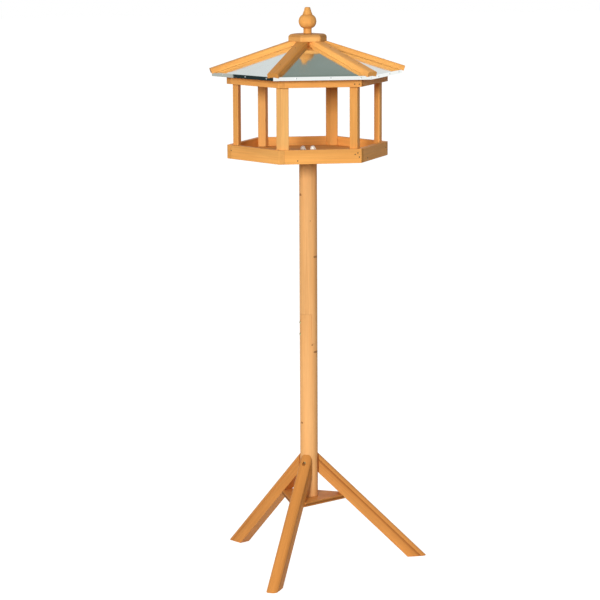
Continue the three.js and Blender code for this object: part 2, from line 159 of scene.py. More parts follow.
class WoodSettings(bpy.types.PropertyGroup):
    """Colours and grain of the stained softwood."""

    board_colour: FloatVectorProperty(
        name="Board Colour",
        description="Spring wood of the boards, posts and rafters under the honey stain",
        subtype="COLOR",
        size=3,
        default=(0.885, 0.420, 0.112),
    )
    board_ring_colour: FloatVectorProperty(
        name="Board Ring Colour",
        description="Darker summer wood between the growth rings of the boards",
        subtype="COLOR",
        size=3,
        default=(0.70, 0.272, 0.056),
    )
    leg_colour: FloatVectorProperty(
        name="Leg Colour",
        description="Spring wood of the legs and the brace plate, which took more stain",
        subtype="COLOR",
        size=3,
        default=(0.66, 0.275, 0.068),
    )
    leg_ring_colour: FloatVectorProperty(
        name="Leg Ring Colour",
        description="Summer wood of the legs and the brace plate",
        subtype="COLOR",
        size=3,
        default=(0.50, 0.175, 0.034),
    )
    pole_colour: FloatVectorProperty(
        name="Pole Colour",
        description="Spring wood of the paler pole",
        subtype="COLOR",
        size=3,
        default=(0.85, 0.448, 0.172),
    )
    pole_ring_colour: FloatVectorProperty(
        name="Pole Ring Colour",
        description="Summer wood of the paler pole",
        subtype="COLOR",
        size=3,
        default=(0.71, 0.318, 0.094),
    )
    inner_colour: FloatVectorProperty(
        name="Inner Colour",
        description="Spring wood of the tray's floor and the boards under the sheets",
        subtype="COLOR",
        size=3,
        default=(0.82, 0.375, 0.093),
    )
    inner_ring_colour: FloatVectorProperty(
        name="Inner Ring Colour",
        description="Summer wood of the tray's floor and the boards under the sheets",
        subtype="COLOR",
        size=3,
        default=(0.59, 0.225, 0.045),
    )
    knot_colour: FloatVectorProperty(
        name="Knot Colour",
        description="Heart of a knot",
        subtype="COLOR",
        size=3,
        default=(0.26, 0.090, 0.024),
    )
    ring_width: FloatProperty(
        name="Ring Width",
        description="Distance from one growth ring to the next",
        unit="LENGTH",
        default=0.0024,
        min=0.0005,
    )
    arris: FloatProperty(
        name="Arris Width",
        description="Width of the softened edges of planed pieces",
        unit="LENGTH",
        default=0.0008,
        min=0.0001,
    )
    plate_chamfer: FloatProperty(
        name="Plate Chamfer",
        description="Height of the chamfer along the brace plate's lower edges",
        unit="LENGTH",
        default=0.0030,
        min=0.0005,
    )
    quirk: FloatProperty(
        name="Quirk",
        description="Depth of the groove beside the rounded edges of the legs",
        unit="LENGTH",
        default=0.0012,
        min=0.0001,
    )
    cap_rounding: FloatProperty(
        name="Cap Rounding",
        description="Height of the rounding along the cap's upper edge",
        unit="LENGTH",
        default=0.0078,
        min=0.0001,
    )


class SheetSettings(bpy.types.PropertyGroup):
    """Finish of the folded roof sheets."""

    colour: FloatVectorProperty(
        name="Sheet Colour",
        description="Reflectance of the bright galvanised sheets",
        subtype="COLOR",
        size=3,
        default=(0.83, 0.86, 0.84),
    )
    roughness: FloatProperty(
        name="Sheet Roughness",
        description="Blur of the reflections in the sheets",
        subtype="FACTOR",
        default=0.08,
        min=0,
        max=1,
    )
    fold_width: FloatProperty(
        name="Fold Width",
        description="Width of the rounding along the fold at the eaves",
        unit="LENGTH",
        default=0.00072,
        min=0.0001,
    )


class FastenerSettings(bpy.types.PropertyGroup):
    """Sizes of the nails and screws."""

    nail_radius: FloatProperty(
        name="Nail Radius",
        description="Radius of the nail heads in the boards",
        unit="LENGTH",
        default=0.0016,
        min=0.0005,
    )
    flange_nail_radius: FloatProperty(
        name="Flange Nail Radius",
        description="Radius of the nail heads in the sheets' flanges",
        unit="LENGTH",
        default=0.0019,
        min=0.0005,
    )
    pin_radius: FloatProperty(
        name="Pin Radius",
        description="Radius of the pin heads in the rafters",
        unit="LENGTH",
        default=0.0012,
        min=0.0005,
    )
    nail_length: FloatProperty(
        name="Nail Length",
        description="Length of the nails under their heads",
        unit="LENGTH",
        default=0.018,
        min=0.005,
    )


class StageSettings(bpy.types.PropertyGroup):
    """Camera, lamp, room and floor."""

    lens: FloatProperty(
        name="Lens",
        description="Focal length on a 36 mm sensor",
        unit="CAMERA",
        default=145.07,
        min=10,
    )
    key_power: FloatProperty(
        name="Key Power",
        description="Power of the low lamp at the front left",
        unit="POWER",
        default=258,
        min=0,
    )
    key_size: FloatProperty(
        name="Key Size",
        description="Side of the lamp's square face",
        unit="LENGTH",
        default=1.1,
        min=0.1,
    )
    ceiling_level: FloatProperty(
        name="Ceiling Level",
        description="Level of the even light from above",
        default=0.46,
        min=0,
    )
    wall_level: FloatProperty(
        name="Wall Level",
        description="Level of the even light from the sides",
        default=0.18,
        min=0,
    )
    back_level: FloatProperty(
        name="Back Level",
        description="Level of the even light that is added from behind",
        default=0.40,
        min=0,
    )
    floor_level: FloatProperty(
        name="Floor Level",
        description="Share of the light that the floor round the feet gives back",
        subtype="FACTOR",
        default=0.78,
        min=0,
        max=1,
    )


class BirdTableSettings(bpy.types.PropertyGroup):
    """All the settings of the bird table."""

    wood: PointerProperty(type=WoodSettings)
    sheet: PointerProperty(type=SheetSettings)
    fastener: PointerProperty(type=FastenerSettings)
    stage: PointerProperty(type=StageSettings)
    seed: IntProperty(name="Seed", description="Start of the random grain of each piece", default=11)


def settings():
    """The bird table's settings on the open scene."""
    return bpy.context.scene.bird_table


# Shader maths


class Signal:
    """A socket in an expression: each sum or product on it adds a Math node."""

    def __init__(self, finish, socket):
        self.finish = finish
        self.socket = socket

    def maths(self, operation, *values):
        return self.finish.node("ShaderNodeMath", {"operation": operation}, dict(enumerate(values)))

    def __add__(self, other):
        return self.maths("ADD", self, other)

    def __radd__(self, other):
        return self.maths("ADD", other, self)

    def __sub__(self, other):
        return self.maths("SUBTRACT", self, other)

    def __rsub__(self, other):
        return self.maths("SUBTRACT", other, self)

    def __mul__(self, other):
        return self.maths("MULTIPLY", self, other)

    def __rmul__(self, other):
        return self.maths("MULTIPLY", other, self)

    def __truediv__(self, other):
        return self.maths("DIVIDE", self, other)


class Finish:
    """A material or a world in the making, with one method for every kind of node."""

    def __init__(self, name, library="materials"):
        self.block = getattr(bpy.data, library).new(name)
        self.block.use_nodes = True
        self.tree = self.block.node_tree
        self.tree.nodes.clear()

    def node(self, kind, choices=None, sockets=None, output=0):
        """Adds a node, makes its choices, then feeds its sockets by name or place."""
        node = self.tree.nodes.new(kind)
        for key, value in (choices or {}).items():
            if key == "stops":
                self.stops(node.color_ramp, value)
            else:
                setattr(node, key, value)
        for key, value in (sockets or {}).items():
            if isinstance(value, Signal):
                self.tree.links.new(value.socket, node.inputs[key])
            else:
                node.inputs[key].default_value = value
        return Signal(self, node.outputs[output]) if node.outputs else None

    @staticmethod
    def stops(ramp, stops):
        while len(ramp.elements) < len(stops):
            ramp.elements.new(1.0)
        for element, (place, colour) in zip(ramp.elements, stops):
            element.position = place
            element.color = opaque(colour)

    def ramp(self, value, *stops):
        """A colour that follows the stops as the value goes from 0 to 1."""
        return self.node("ShaderNodeValToRGB", {"stops": stops}, {"Fac": value})

    def levels(self, value, *stops):
        """A number that follows the stops as the value goes from 0 to 1."""
        return self.ramp(value, *((place, (level, level, level)) for place, level in stops))

    def between(self, value, low, high):
        """0 below low, 1 above high and smooth between them."""
        return self.node(
            "ShaderNodeMapRange",
            {"interpolation_type": "SMOOTHSTEP", "clamp": True},
            {"Value": value, "From Min": low, "From Max": high},
        )

    def vectors(self, operation, first, second):
        return self.node("ShaderNodeVectorMath", {"operation": operation}, {0: first, 1: second})

    def length(self, vector):
        return self.node("ShaderNodeVectorMath", {"operation": "LENGTH"}, {0: vector}, "Value")

    def noise(self, vector, factors, detail=2.0, roughness=0.5):
        """Soft noise with its own scale along each axis."""
        return self.node(
            "ShaderNodeTexNoise",
            {"noise_dimensions": "3D"},
            {
                "Vector": self.vectors("MULTIPLY", vector, factors),
                "Scale": 1.0,
                "Detail": detail,
                "Roughness": roughness,
            },
        )

    def mix(self, amount, first, second, blend="MIX"):
        """A colour mixed from two."""
        return self.node(
            "ShaderNodeMix",
            {"data_type": "RGBA", "blend_type": blend},
            {0: amount, 6: first, 7: second},
            output=2,
        )

    def grey(self, level):
        return self.node("ShaderNodeCombineColor", {}, {0: level, 1: level, 2: level})

    def shaded(self, colour, level):
        """A colour made lighter or darker by a level about 1."""
        return self.vectors("MULTIPLY", colour, self.grey(level))

    def attribute(self, name, output):
        return self.node("ShaderNodeAttribute", {"attribute_name": name}, output=output)

    def place(self):
        """Object coordinates, in metres from the ground under the pole."""
        return self.node("ShaderNodeTexCoord", output="Object")

    def bump(self, height, distance, strength):
        return self.node(
            "ShaderNodeBump",
            {},
            {"Height": height, "Distance": distance, "Strength": strength},
        )

    def seen(self):
        """1 for rays from the camera, a mirror or glass, and 0 for the light on things."""
        rays = [
            self.node("ShaderNodeLightPath", output=name)
            for name in ("Is Camera Ray", "Is Glossy Ray", "Is Transmission Ray")
        ]
        total = rays[0] + rays[1] + rays[2]
        return total.maths("MINIMUM", total, 1.0)

    def surface(self, sockets):
        """Ends the material in one Principled shader."""
        return self.ended(self.node("ShaderNodeBsdfPrincipled", {}, sockets))

    def ended(self, shader, output="ShaderNodeOutputMaterial"):
        self.node(output, {}, {"Surface": shader})
        return self.block


def opaque(colour):
    """A colour with its alpha."""
    return (*colour, 1.0)


def ready(name):
    """A material that was made before, or None."""
    return bpy.data.materials.get(name)


# Finishes

WHITE = (1.0, 1.0, 1.0, 1.0)
# Colour where the wood is painted darker: thicker stain, with painted shade in the quirks and on the
# cap's top
POOLED_STAIN_AND_SHADE = (0.50, 0.41, 0.39)
PALING = Vector((0.0, 0.14, 0.40))
# How dark the wood grows across one ring, before the next one starts pale
RING_PROFILE = ((0.0, 0.0), (0.35, 0.06), (0.72, 0.45), (0.90, 1.0), (0.97, 0.85), (1.0, 0.0))
END_GRAIN_START = 0.5
END_GRAIN_FULL = 0.9
# A knot is a branch that runs out from the pith through a place in the plank, where
# the first number is the distance along the grain
BOARD_KNOTS = (
    (Vector((0.047, 0.052, 0.016)), 0.0038),
    (Vector((0.192, 0.045, 0.026)), 0.0030),
    (Vector((0.405, 0.050, 0.020)), 0.0044),
    (Vector((0.633, 0.047, 0.024)), 0.0028),
)
# Tones of the planks that differ from the rest, some with painted shade: a level about 1 and a paleness
# about 0
TONES_AND_SHADES = {
    "post_1": (1.10, 0.1),
    # post_2 and post_6 are painted darker for the shade of the ring above them
    "post_2": (0.86, 0.0),
    "post_3": (1.02, 0.7),
    "post_5": (1.0, 1.0),
    "post_6": (0.95, 0.0),
    "rafter_4": (0.94, 0.0),
    "rafter_5": (0.80, -0.5),
    "rafter_6": (1.02, 0.1),
    "tray_board_1": (1.0, 0.0),
    "ring_board_1": (0.97, 0.1),
    "roof_cap": (0.98, 0.6),
    "finial": (0.93, 0.1),
    "leg_1": (1.02, -0.1),
    "leg_2": (1.14, 0.1),
    "leg_3": (1.06, 0.0),
}
# Depths under a leg's outer face and the plate's top where their quirks start, lie
# deepest and end, and how dark the quirks are painted at those depths and in each leg, by thicker stain
# and painted shade
LEG_QUIRK = (0.0165, 0.0105, 0.0094)
PLATE_QUIRK = (0.0034, 0.0052, 0.0066)
PLATE_STAIN_AND_SHADE = (0.55, 1.0, 0.9)
QUIRK_STAIN_AND_SHADE = (0.25, 1.0, 0.2)
LEG_STAIN_AND_SHADE = (0.6, 1.0, 0.2)
POLE_MIDDLE = Vector((0, 0, 0.6))
POLE_SHIFTS = {"upper_pole": 0.0, "lower_pole": 3.0}
POLE_PITH = Vector((0.0, 0.030, 0.075))
POLE_KNOTS = (
    (Vector((0.1781, 0.0157, -0.0154)) + POLE_PITH, 0.0026),
    (Vector((0.2681, 0.0013, -0.0220)) + POLE_PITH, 0.0016),
    (Vector((2.9395, 0.0170, -0.0140)) + POLE_PITH, 0.0030),
    (Vector((2.9582, 0.0051, -0.0214)) + POLE_PITH, 0.0018),
    (Vector((0.3320, -0.0180, 0.0120)) + POLE_PITH, 0.0034),
    (Vector((2.7600, -0.0150, 0.0160)) + POLE_PITH, 0.0030),
)
# Each wood's material, knots, share of the ring width, and roughness
WOODS = {
    "board": ("honey_stained_board", BOARD_KNOTS, 1.0, 0.46),
    "leg": ("deeper_stained_leg", (), 1.0, 0.42),
    "inner": ("dry_inner_board", BOARD_KNOTS[:2], 1.0, 0.60),
    "pole": ("pale_pole_wood", POLE_KNOTS, 1.15, 0.48),
}


def branch_distance(finish, grain, place):
    """Distance from the branch that runs out from the pith through a place."""
    branch = Vector((0.0, place.y, place.z)).normalized()
    offset = finish.vectors("SUBTRACT", grain, place)
    return finish.length(finish.vectors("CROSS_PRODUCT", offset, branch))


def stained_wood(name, spring, summer, knots, ring_width, roughness):
    """Stained softwood: growth rings about a pith, streaks, fibres, knots and end grain."""
    made = ready(name)
    if made:
        return made
    finish = Finish(name)
    grain = finish.attribute("grain", "Vector")
    ends = finish.attribute("end_grain", "Fac")
    arris = finish.attribute("arris", "Fac")

    wander = finish.noise(grain, (2.2, 26.0, 26.0)) - 0.5
    ripple = finish.noise(grain, (14.0, 160.0, 160.0)) - 0.5
    radius = finish.length(finish.vectors("MULTIPLY", grain, (0.0, 1.0, 1.0)))
    radius = radius + wander * 0.0085 + ripple * 0.0007

    knot = None
    for place, size in knots:
        distance = branch_distance(finish, grain, place)
        near = 1 - finish.between(distance, size * 0.6, size * 4.5)
        radius = radius + near * near * size * 0.9
        heart = 1 - finish.between(distance + ripple * 0.0016, size * 0.55, size * 1.15)
        knot = heart if knot is None else knot.maths("MAXIMUM", knot, heart)

    turns = radius / ring_width
    phase = turns.maths("FRACT", turns)
    ring = finish.levels(phase, *RING_PROFILE)
    spread = finish.noise(grain, (3.0, 60.0, 60.0), 1.0)
    ring = ring * finish.between(spread, 0.25, 0.75)

    broad = finish.noise(grain, (2.4, 48.0, 48.0), 2.0) - 0.5
    narrow = finish.noise(grain, (7.0, 210.0, 210.0), 2.0) - 0.5
    fibre = finish.noise(grain, (28.0, 1500.0, 1500.0), 3.0, 0.6)
    fleck = finish.between(finish.noise(grain, (90.0, 2600.0, 2600.0), 1.0), 0.66, 0.78)
    cloud = finish.noise(grain, (6.0, 26.0, 26.0), 3.0)

    colour = finish.mix(ring * 0.62, opaque(spring), opaque(summer))
    deep = opaque(Vector(summer).lerp(Vector(spring), 0.35))
    colour = finish.mix(finish.between(cloud + broad * 0.5, 0.40, 0.72) * 0.45, colour, deep)
    shade = 1 + broad * 0.42 + narrow * 0.26 + (fibre - 0.5) * 0.20 - fleck * 0.08
    # End grain is coloured a little darker and the rounded edges a little lighter
    colour = finish.shaded(colour, shade * (1 - ends * 0.14) * (1 + arris * 0.05))
    colour = finish.vectors("MULTIPLY", colour, finish.attribute("tint", "Vector"))
    # Darker where the stain lies thicker, and where shade is painted into the quirks and onto the cap's
    # top
    pooled = finish.mix(finish.attribute("pooled", "Fac"), WHITE, opaque(POOLED_STAIN_AND_SHADE))
    colour = finish.vectors("MULTIPLY", colour, pooled)
    if knot:
        crack = finish.between(finish.noise(grain, (420.0, 420.0, 420.0)), 0.3, 0.7)
        colour = finish.mix(knot * (0.62 + crack * 0.3), colour, opaque(settings().wood.knot_colour))

    relief = ring * 0.35 + fibre * 0.5 - fleck * 0.5
    return finish.surface(
        {
            "Base Color": colour,
            "Roughness": roughness + (fibre - 0.5) * 0.16 + ends * 0.18 - ring * 0.05,
            "Normal": finish.bump(relief, 0.00022, 0.55),
            "Specular IOR Level": 0.05,
        }
    )


def wood(kind):
    """The stained wood of one kind of piece."""
    name, knots, share, roughness = WOODS[kind]
    sizes = settings().wood
    colours = (getattr(sizes, f"{kind}_colour"), getattr(sizes, f"{kind}_ring_colour"))
    return stained_wood(name, *colours, knots, sizes.ring_width * share, roughness)


def galvanised():
    """Bright sheet: a near mirror with faint dents, zinc flowers and pale bloom."""
    made = ready("bright_galvanised_sheet")
    if made:
        return made
    finish = Finish("bright_galvanised_sheet")
    sheet = settings().sheet
    place = finish.place()
    dents = finish.noise(place, (9.0, 9.0, 9.0), 1.0)
    flowers = finish.node(
        "ShaderNodeTexVoronoi",
        {"feature": "F1"},
        {"Vector": finish.vectors("MULTIPLY", place, (240.0, 240.0, 240.0)), "Scale": 1.0},
        output="Distance",
    )
    bloom = finish.between(finish.noise(place, (16.0, 16.0, 16.0), 4.0, 0.6), 0.42, 0.75)
    height = finish.node("ShaderNodeSeparateXYZ", {}, {0: place}, output="Z")
    handled = finish.between(height, EAVE_BOTTOM + 0.009, EAVE_BOTTOM + 0.013)
    tint = finish.mix(bloom * 0.6, opaque(sheet.colour), opaque(Vector(sheet.colour) * 0.93))
    tint = finish.mix(flowers * 0.14, tint, opaque((0.90, 0.92, 0.93)))
    blur = sheet.roughness * 0.7 + bloom * 0.05 + flowers * 0.03
    return finish.surface(
        {
            "Base Color": tint,
            "Metallic": 1.0,
            "Roughness": handled * blur + sheet.roughness * 0.3,
            "Normal": finish.bump(handled * (dents + flowers * 0.002), 0.0010, 0.30),
        }
    )


def steel(name, colour, roughness, metallic=1.0):
    """Plated or plain steel with fine scratches and dull patches."""
    made = ready(name)
    if made:
        return made
    finish = Finish(name)
    place = finish.place()
    haze = finish.noise(place, (420.0, 420.0, 420.0), 3.0)
    scratch = finish.noise(place, (300.0, 2600.0, 900.0))
    dulled = opaque(Vector(colour) * 0.72)
    tint = finish.mix(finish.between(haze, 0.35, 0.7) * 0.6, opaque(colour), dulled)
    return finish.surface(
        {
            "Base Color": tint,
            "Metallic": metallic,
            "Roughness": roughness + haze * 0.14,
            "Normal": finish.bump(scratch, 0.00004, 0.5),
        }
    )


def zinc():
    return steel("bright_zinc_plate", (0.90, 0.90, 0.88), 0.14)


def dull_zinc():
    return steel("dull_zinc_nail", (0.54, 0.57, 0.57), 0.24)


def nut_plate():
    return steel("satin_nut_plate", (0.98, 0.94, 0.85), 0.40, 0.20)


def screw_steel():
    return steel("yellow_screw_plate", (0.54, 0.42, 0.20), 0.42)


def nail_steel():
    return steel("dark_nail_steel", (0.115, 0.070, 0.040), 0.46)


# Pieces


def layer(items, kind, name):
    """A layer of values on the verts or faces, made on its first use. A new layer drops
    every vert or face that a variable holds."""
    layers = getattr(items.layers, kind)
    return layers.get(name) or layers.new(name)


def merged(node):
    """A bmesh of a node with its loose triangles joined into flat faces."""
    shape = bmesh.new()
    shape.from_mesh(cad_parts[node].data)
    layer(shape.verts, "float", "pooled")
    layer(shape.faces, "float", "arris")
    bmesh.ops.remove_doubles(shape, verts=shape.verts, dist=WELD)
    bmesh.ops.dissolve_limit(shape, angle_limit=FLAT_TURN, verts=shape.verts, edges=shape.edges)
    return shape


def bevelled(shape, edges, width, segments):
    """Bevels the edges and returns the new faces."""
    made = bmesh.ops.bevel(
        shape,
        geom=edges,
        offset=width,
        segments=segments,
        profile=0.5,
        affect="EDGES",
        material=-1,
        clamp_overlap=True,
    )
    return made["faces"]


def soften(shape, width, shortest=0.006, angle=math.radians(28)):
    """Rounds the long sharp edges and marks their faces, where the wood is coloured a little lighter.
    """
    arris_faces = layer(shape.faces, "float", "arris")
    sharp = [
        edge
        for edge in shape.edges
        if edge.is_manifold and edge.calc_length() > shortest and edge.calc_face_angle() > angle
    ]
    for face in bevelled(shape, sharp, width, 3):
        face[arris_faces] = 1.0


def pool_stain_and_shade(shape, verts, amount):
    """Marks where the stain lies thicker and where shade is painted."""
    pooled = layer(shape.verts, "float", "pooled")
    for vert in verts:
        vert[pooled] = amount


def quirked(shape, direction, depths, fall, outside, stains):
    """Cuts a quirk round the sides, painted darker there by thicker stain and painted shade. The
    depths under the top are where the side starts to fall, the quirk's bottom and the nose above it."""
    top = max(vert.co.dot(direction) for vert in shape.verts)
    for depth in depths:
        whole = shape.verts[:] + shape.edges[:] + shape.faces[:]
        cut = direction * (top - depth)
        bmesh.ops.bisect_plane(shape, geom=whole, plane_co=cut, plane_no=direction)
    shape.normal_update()
    sides = [vert for vert in shape.verts if outside(vert.co)]
    lines = [
        [vert for vert in sides if abs(top - vert.co.dot(direction) - depth) < SAME_PLANE]
        for depth in depths
    ]
    # The quirk's lines are painted darker, for thicker stain and painted shade
    for line, stain in zip(lines, stains):
        pool_stain_and_shade(shape, line, stain)
    for vert in lines[1]:
        vert.co -= vert.normal * fall


def keep_edges_sharp(shape, angle=math.radians(32)):
    """Smooth faces, parted at the sharp edges that are left."""
    for face in shape.faces:
        face.smooth = True
    for edge in shape.edges:
        edge.smooth = not edge.is_manifold or edge.calc_face_angle() < angle


def random_pith(seed):
    """A place in a plank, at a random distance along the tree and about its pith."""
    rng = random.Random(settings().seed * 1000 + seed)
    pith = rng.uniform(0.03, 0.06)
    tilt = rng.uniform(0.3, 1.1)
    return Vector((rng.uniform(0, 3), pith * math.cos(tilt), pith * math.sin(tilt)))


def lay_grain(shape, along, across, centre, shift, tone=(1.0, 0.0)):
    """Stores where each point lies in its plank, the plank's tone with any painted shade, and
    which faces are end grain. A tone is a level about 1 and a paleness about 0."""
    through = along.cross(across).normalized()
    across = through.cross(along)
    grain = layer(shape.verts, "float_vector", "grain")
    tint = layer(shape.verts, "float_vector", "tint")
    ends = layer(shape.faces, "float", "end_grain")
    level, pale = tone
    for vert in shape.verts:
        offset = vert.co - centre
        vert[grain] = shift + Vector((offset.dot(along), offset.dot(across), offset.dot(through)))
        vert[tint] = level * (Vector((1.0, 1.0, 1.0)) + pale * PALING)
    for face in shape.faces:
        squareness = abs(face.normal.dot(along)) - END_GRAIN_START
        face[ends] = max(0.0, min(1.0, squareness / (END_GRAIN_FULL - END_GRAIN_START)))


def tone_and_shade_of(node, seed):
    """The tone of a piece's plank, with painted shade on some posts: as seen on the real one, or a
    random one.
    """
    rng = random.Random(settings().seed * 2000 + seed)
    level, pale = rng.uniform(0.96, 1.04), rng.uniform(-0.2, 0.3)
    return TONES_AND_SHADES.get(node, (level, pale))


def linked(shape, name, material):
    """Turns a bmesh into an object of one material."""
    mesh = bpy.data.meshes.new(name)
    shape.to_mesh(mesh)
    shape.free()
    mesh.materials.append(material)
    made = bpy.data.objects.new(name, mesh)
    bpy.context.scene.collection.objects.link(made)
    return made


def finished(shape, name, material, node=None):
    """Turns a bmesh into a piece that rides on the table, and hides its node."""
    piece = linked(shape, name, material)
    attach(piece, "root")
    if node:
        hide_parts(node)
    return piece


def even_shading(piece):
    """Lets the large flat faces set the shading beside a bevel."""
    weigh = piece.modifiers.new("even_shading", "WEIGHTED_NORMAL")
    weigh.keep_sharp = True


def plane(node, along, across, material, seed, shape=None):
    """Planes one wooden piece: softened arrises, with the grain along it. It is made from
    its node, or from a shape that stands for the node."""
    low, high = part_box(node)
    shape = shape or merged(node)
    soften(shape, settings().wood.arris)
    keep_edges_sharp(shape)
    lay_grain(shape, along, across, (low + high) / 2, random_pith(seed), tone_and_shade_of(node, seed))
    even_shading(finished(shape, f"{node}_planed", material, node))


def turned_form(profile, steps):
    """A form spun from a profile of (radius, height), closed where it meets the axis."""
    shape = bmesh.new()
    verts = [shape.verts.new((radius, 0.0, height)) for radius, height in profile]
    edges = [shape.edges.new(pair) for pair in zip(verts, verts[1:])]
    bmesh.ops.spin(
        shape,
        geom=verts + edges,
        cent=(0, 0, 0),
        axis=(0, 0, 1),
        angle=math.tau,
        steps=steps,
        use_merge=True,
    )
    bmesh.ops.remove_doubles(shape, verts=shape.verts, dist=1e-6)
    bmesh.ops.recalc_face_normals(shape, faces=shape.faces)
    return shape


def swept(start, first_pull, second_pull, end, count=9):
    """Points of (radius, height) along one curve of a turned profile."""
    points = (Vector((radius, 0.0, height)) for radius, height in (start, first_pull, second_pull, end))
    return [(point.x, point.z) for point in interpolate_bezier(*points, count)]


def aimed(shape, start, direction):
    """Turns a form that points along +Z to a direction and sets it at a start."""
    turn = UP.rotation_difference(direction).to_matrix().to_4x4()
    bmesh.ops.transform(shape, matrix=Matrix.Translation(start) @ turn, verts=shape.verts)
    return shape


def gathered(parts):
    """One bmesh of several."""
    whole = bmesh.new()
    for part in parts:
        mesh = bpy.data.meshes.new("part")
        part.to_mesh(mesh)
        part.free()
        whole.from_mesh(mesh)
        bpy.data.meshes.remove(mesh)
    return whole


def nail(start, outward, radius):
    """A nail with a thin domed head, driven in at a start on the surface."""
    proud = radius * NAIL_RISE_SHARE
    length = settings().fastener.nail_length
    shank = radius * NAIL_SHANK_SHARE
    shape = turned_form(
        [
            (0.0, proud),
            (radius * 0.70, proud * 0.9),
            (radius, proud * 0.25),
            (radius, -proud),
            (shank, -2 * proud),
            (shank, -length),
            (0.0, -length - 2 * shank),
        ],
        NAIL_STEPS,
    )
    return aimed(shape, start, outward)


def cross_screw(shank, head, rise, length):
    """A screw along +Z whose rounded head has a cross recess, with the head's seat at 0."""
    shape = turned_form(
        [
            (head * 0.74, -rise),
            (head * 0.92, -rise * 0.80),
            (head, -rise * 0.50),
            (head, 0.0),
            (shank, 0.0),
            (shank, length - 2 * shank),
            (0.0, length),
        ],
        SCREW_STEPS,
    )
    arm, slot = head * RECESS_ARM_SHARE, head * RECESS_SLOT_SHARE
    quarter = [Vector((slot, arm, -rise)), Vector((slot, slot, -rise)), Vector((arm, slot, -rise))]
    turns = [Matrix.Rotation(-i * math.pi / 2, 3, "Z") for i in range(4)]
    corners = [turn @ corner for turn in turns for corner in quarter]
    verts = [shape.verts.new(corner) for corner in corners]
    outline = [shape.edges.new(pair) for pair in zip(verts, verts[1:] + verts[:1])]
    rim = [edge for edge in shape.edges if edge.is_boundary]
    bmesh.ops.bridge_loops(shape, edges=rim + outline)
    sunk = bmesh.ops.extrude_edge_only(shape, edges=outline)["geom"]
    floor = [part for part in sunk if isinstance(part, bmesh.types.BMVert)]
    bmesh.ops.scale(shape, vec=(RECESS_FLOOR_SHARE, RECESS_FLOOR_SHARE, 1), verts=floor)
    bmesh.ops.translate(shape, vec=(0, 0, rise * RECESS_DEPTH_SHARE), verts=floor)
    bmesh.ops.contextual_create(shape, geom=[e for e in shape.edges if e.is_boundary])
    bmesh.ops.recalc_face_normals(shape, faces=shape.faces)
    return shape


# Operators


class BIRDTABLE_OT_tray(bpy.types.Operator):
    """Planes the tray's floor and its six boards"""

    bl_idname = "bird_table.tray"
    bl_label = "Tray"

    def execute(self, context):
        plane("tray_floor", EAST, NORTH, wood("inner"), 1)
        for i, node in enumerate(numbered("tray_board", SIDES)):
            plane(node, polar(i * SIDE_TURN), UP, wood("board"), 10 + i)
        return {"FINISHED"}


class BIRDTABLE_OT_house(bpy.types.Operator):
    """Planes the six posts and the six boards of the top ring"""

    bl_idname = "bird_table.house"
    bl_label = "Posts and Top Ring"

    def execute(self, context):
        for i, node in enumerate(numbered("post", SIDES)):
            plane(node, UP, polar(i * SIDE_TURN), wood("board"), 20 + i)
        for i, node in enumerate(numbered("ring_board", SIDES)):
            plane(node, polar(i * SIDE_TURN), UP, wood("board"), 30 + i)
        return {"FINISHED"}


class BIRDTABLE_OT_stand(bpy.types.Operator):
    """Planes the three legs and chamfers the brace plate"""

    bl_idname = "bird_table.stand"
    bl_label = "Legs and Brace Plate"

    def execute(self, context):
        for i, node in enumerate(numbered("leg", LEGS)):
            turn = FIRST_LEG + i * LEG_TURN
            along = polar(turn, math.sin(LEG_SPLAY), -math.cos(LEG_SPLAY))
            across = polar(turn + math.pi / 2)
            outward = along.cross(across)
            low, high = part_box(node)
            shape = merged(node)
            soften(shape, width=0.0012)
            quirked(
                shape,
                outward,
                LEG_QUIRK,
                settings().wood.quirk,
                lambda point: abs(point.dot(across)) > LEG_SIDE_REACH,
                [stain * LEG_STAIN_AND_SHADE[i] for stain in QUIRK_STAIN_AND_SHADE],
            )
            keep_edges_sharp(shape)
            lay_grain(shape, along, across, (low + high) / 2, random_pith(40 + i), TONES_AND_SHADES[node])
            even_shading(finished(shape, f"{node}_planed", wood("leg"), node))
        self.plate()
        return {"FINISHED"}

    def plate(self):
        low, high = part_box("brace_plate")
        shape = merged("brace_plate")
        lower = [
            edge
            for edge in shape.edges
            if edge.calc_length() > LONG_PLATE_EDGE
            and max(vert.co.z for vert in edge.verts) < low.z + LOWER_PLATE_EDGE
        ]
        bevelled(shape, lower, settings().wood.plate_chamfer, 1)
        soften(shape, width=0.0005)
        quirked(
            shape,
            UP,
            PLATE_QUIRK,
            settings().wood.quirk * PLATE_QUIRK_SHARE,
            lambda point: point.xy.length > PLATE_SIDE_REACH,
            PLATE_STAIN_AND_SHADE,
        )
        keep_edges_sharp(shape)
        across = polar(FIRST_LEG)
        lay_grain(shape, UP.cross(across), across, (low + high) / 2, random_pith(45))
        piece = finished(shape, "brace_plate_chamfered", wood("leg"), "brace_plate")
        even_shading(piece)


class BIRDTABLE_OT_pole(bpy.types.Operator):
    """Smooths and stains the two halves of the pole"""

    bl_idname = "bird_table.pole"
    bl_label = "Pole"

    def execute(self, context):
        for node, shift in POLE_SHIFTS.items():
            shape = merged(node)
            soften(shape, width=0.0006)
            keep_edges_sharp(shape)
            lay_grain(shape, UP, EAST, POLE_MIDDLE, POLE_PITH + EAST * shift)
            even_shading(finished(shape, f"{node}_smoothed", wood("pole"), node))
        return {"FINISHED"}


